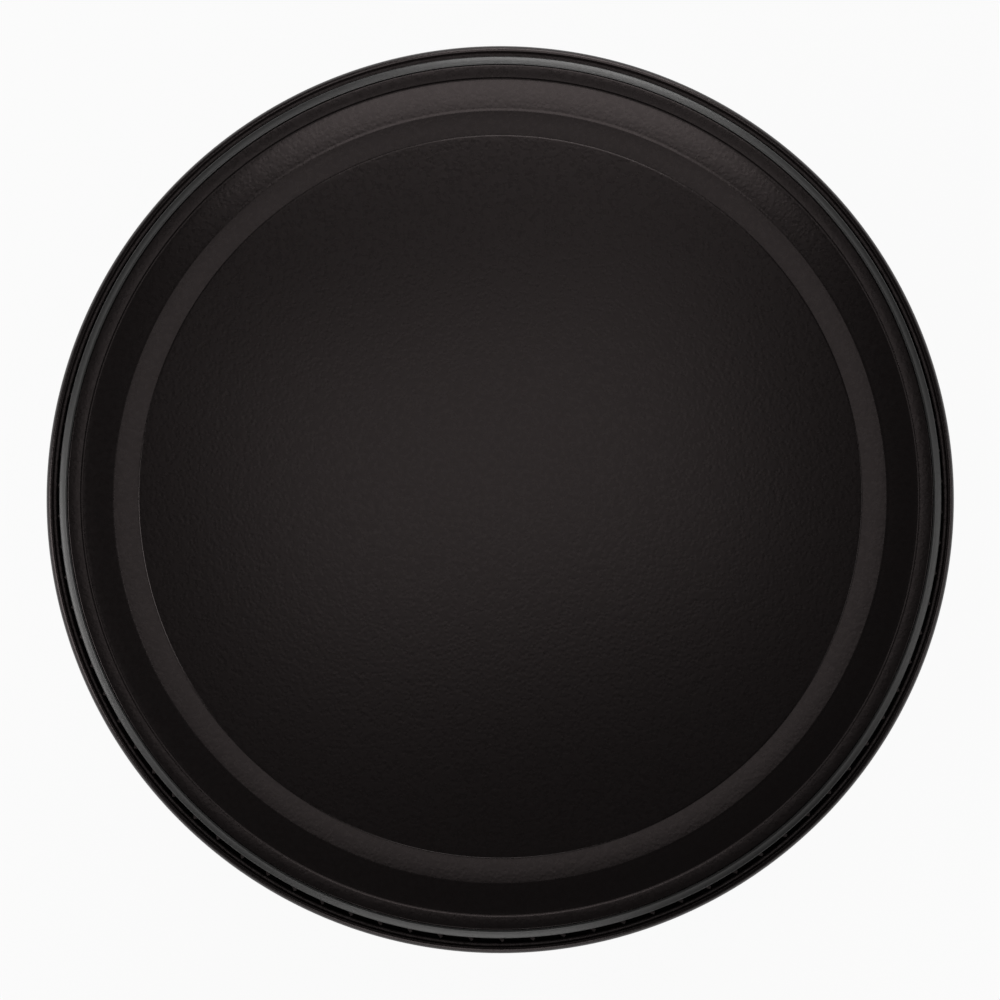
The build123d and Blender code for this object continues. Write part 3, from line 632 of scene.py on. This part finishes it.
class PRINTER_OT_lid_dome(bpy.types.Operator):
    """Turns the shallow domed disc in the middle of the lid"""
    bl_idname = "printer.lid_dome"
    bl_label = "Lid disc"

    def execute(self, context):
        reach, low, top = reach_of("lid_disc"), foot_of("lid_disc"), top_of("lid_disc")
        foot = LEDGE_IN - DISC_LAP
        # the sphere's radius from its cap's half width and rise
        rise = top - (top_of("lid_body") + DISC_STAND)
        sphere = (reach ** 2 + rise ** 2) / (2 * rise)
        dome = cap_points(np.linspace(0, reach - DISC_ROUND, 60), top, sphere)
        under = cap_points(np.linspace(foot, 0, 20), top, sphere, DISC_THICK)
        a = np.linspace(0, math.pi / 2, 6)[1:]
        turn = np.stack([np.sin(a), np.cos(a) - 1], -1)
        edge = dome[-1] + DISC_ROUND * turn
        outline = np.concatenate([dome, edge, [[reach, low], [foot, low]], under])
        disc = lathe_disc("lid_dome", outline, context.scene.printer_cover.segments)
        put_on(disc, "shell_plastic", "lid", "shell_plastic", "lid_disc")
        return {"FINISHED"}


class PRINTER_OT_trim(bpy.types.Operator):
    """Turns the lid's bevelled metal ring with softly rounded edges"""
    bl_idname = "printer.trim"
    bl_label = "Trim ring"

    def execute(self, context):
        low, top = foot_of("lid_trim_ring"), top_of("lid_trim_ring")
        outer = reach_of("lid_trim_ring")
        inner = outer - TRIM_WIDTH
        # the bevel is dished a little, so it leans less and catches more light towards its foot:
        # the bulging arc between its ends, turned half round their middle
        foot, head = (outer, top - BEVEL_DROP), (outer - BEVEL_WIDTH, top)
        bevel = (np.add(foot, head) - arc_points(foot, head, BEVEL_DISH, count=9))[::-1]
        band = rounded([(inner, top, CRISP), (inner, low), (outer, low)], SOFT)
        outline = np.concatenate([bevel, band])
        ring = lathe_ring("lid_bevel", outline, context.scene.printer_cover.segments)
        put_on(ring, "trim_metal", "lid", "trim_metal", "lid_trim_ring")
        return {"FINISHED"}


class PRINTER_OT_hat(bpy.types.Operator):
    """Turns the hat's outer shell with its rounded lip and the ledge inside it"""
    bl_idname = "printer.hat"
    bl_label = "Hat shell"

    def execute(self, context):
        cover = context.scene.printer_cover
        low, outer = foot_of("top_shell"), reach_of("top_shell")
        inner = outer - HAT_WALL
        ledge_in, ledge = inner - HAT_LEDGE, foot_of("vent_ring")
        # the lip: a quarter ellipse up from the wall, then a top that falls slightly inward
        across, down = LIP_ROUND
        a = np.linspace(0, math.pi / 2, 14)
        lip = np.stack([outer - across + across * np.cos(a), RIM - down + down * np.sin(a)], -1)
        inside = rounded([(LIP_IN, RIM - LIP_FALL, LIP_EDGE), (LIP_IN, RIM - LIP_DEPTH),
                          (inner, RIM - LIP_DEPTH - LIP_TAPER), (inner, ledge),
                          (ledge_in, ledge), (ledge_in, ledge - HAT_LEDGE_THICK),
                          (inner, ledge - HAT_LEDGE_ROOT), (inner, low), (outer, low)],
                         cover.crease)
        shell = lathe_ring("hat_shell", np.concatenate([lip, inside]), cover.segments)
        put_on(shell, "shell_plastic", "frame", "shell_plastic", "top_shell")
        return {"FINISHED"}


class PRINTER_OT_vent(bpy.types.Operator):
    """Makes the vent ring: a matt black flange low in the gap and the slanted fins standing on it"""
    bl_idname = "printer.vent"
    bl_label = "Vent ring"

    def execute(self, context):
        vent = context.scene.printer_vent
        low, top = foot_of("vent_ring"), top_of("vent_ring")
        outer = reach_of("vent_ring")
        flange_top = top - vent.fin_height
        outline = rounded([(FLANGE_IN, low), (outer, low), (outer, flange_top),
                           (FLANGE_IN, flange_top)], SOFT)
        flange = lathe_ring("vent_flange", outline, context.scene.printer_cover.segments)
        put_on(flange, "vent_black", "frame", "shell_plastic", "vent_ring")
        fins = slanted_fins("vent_fins", vent.fins, vent.fin_length, vent.fin_thickness,
                            flange_top - FIN_ROOT, top)
        put_on(fins, "shell_plastic", "frame", "shell_plastic", "vent_ring")
        return {"FINISHED"}


class PRINTER_OT_belts(bpy.types.Operator):
    """Runs each toothed belt round its two pulleys"""
    bl_idname = "printer.belts"
    bl_label = "Belts"

    def execute(self, context):
        belt = context.scene.printer_belt
        low, high = foot_of("timing_belts"), top_of("timing_belts")
        for name, angle in TOWERS.items():
            obj = toothed_belt("belt_" + name, angle, low, high, belt.tooth_pitch, belt.tooth_height)
            put_on(obj, "belt_rubber", "frame", "belt_rubber", "timing_belts")
        return {"FINISHED"}


class PRINTER_OT_stage(bpy.types.Operator):
    """Lays the floor, hangs the lamps and sets the camera over the lid"""
    bl_idname = "printer.stage"
    bl_label = "Stage"

    def execute(self, context):
        scene = context.scene
        scene.view_settings.view_transform = "Standard"
        scene.world = studio_world()
        corners = FLOOR_HALF * np.array([[-1, -1, 0], [1, -1, 0], [1, 1, 0], [-1, 1, 0]])
        floor = make_mesh("floor", corners, np.array([[0, 1, 2, 3]]))
        floor.data.materials.append(floor_paper())
        for name, place, aim, (width, depth), power in LAMPS:
            data = bpy.data.lights.new(name, "AREA")
            data.shape, data.size, data.size_y, data.energy = "RECTANGLE", width, depth, power
            lamp = bpy.data.objects.new(name, data)
            lamp.location = place
            towards = Vector((0, 0, aim)) - Vector(place)
            lamp.rotation_euler = towards.to_track_quat("-Z", "Y").to_euler()
            scene.collection.objects.link(lamp)
        data = bpy.data.cameras.new("camera")
        data.sensor_width, data.lens = SENSOR_MM, SENSOR_MM * CAMERA_REACH / CAMERA_WIDTH
        camera = bpy.data.objects.new("camera", data)
        camera.location = (CAMERA_AIM[0], CAMERA_AIM[1] - CAMERA_REACH * math.sin(CAMERA_LEAN),
                           RIM + CAMERA_REACH * math.cos(CAMERA_LEAN))
        camera.rotation_euler = (CAMERA_LEAN, 0, 0)
        scene.collection.objects.link(camera)
        scene.camera = camera
        return {"FINISHED"}


# ---------------------------------------------------------------- panel and running
GROUPS = {
    "printer_cover": CoverSettings,
    "printer_vent": VentSettings,
    "printer_belt": BeltSettings,
    "printer_finish": FinishSettings,
}
STEPS = (PRINTER_OT_finishes, PRINTER_OT_lid_cover, PRINTER_OT_lid_dome, PRINTER_OT_trim,
         PRINTER_OT_hat, PRINTER_OT_vent, PRINTER_OT_belts, PRINTER_OT_stage)


class PRINTER_PT_panel(bpy.types.Panel):
    """Lists the printer's settings and the steps that build its visible pieces"""
    bl_label = "Delta printer"
    bl_idname = "PRINTER_PT_panel"
    bl_space_type = "VIEW_3D"
    bl_region_type = "UI"
    bl_category = "Printer"

    def draw(self, context):
        for name in GROUPS:
            group = getattr(context.scene, name)
            box = self.layout.box()
            for key in group.__annotations__:
                box.prop(group, key)
        for step in STEPS:
            self.layout.operator(step.bl_idname)


CLASSES = (*GROUPS.values(), *STEPS, PRINTER_PT_panel)


def register():
    for cls in CLASSES:
        bpy.utils.register_class(cls)
    for name, group in GROUPS.items():
        setattr(bpy.types.Scene, name, bpy.props.PointerProperty(type=group))


def unregister():
    for name in GROUPS:
        delattr(bpy.types.Scene, name)
    for cls in reversed(CLASSES):
        bpy.utils.unregister_class(cls)


def main():
    register()
    for step in STEPS:
        group, name = step.bl_idname.split(".")
        getattr(getattr(bpy.ops, group), name)()


if __name__ == "__main__":
    main()
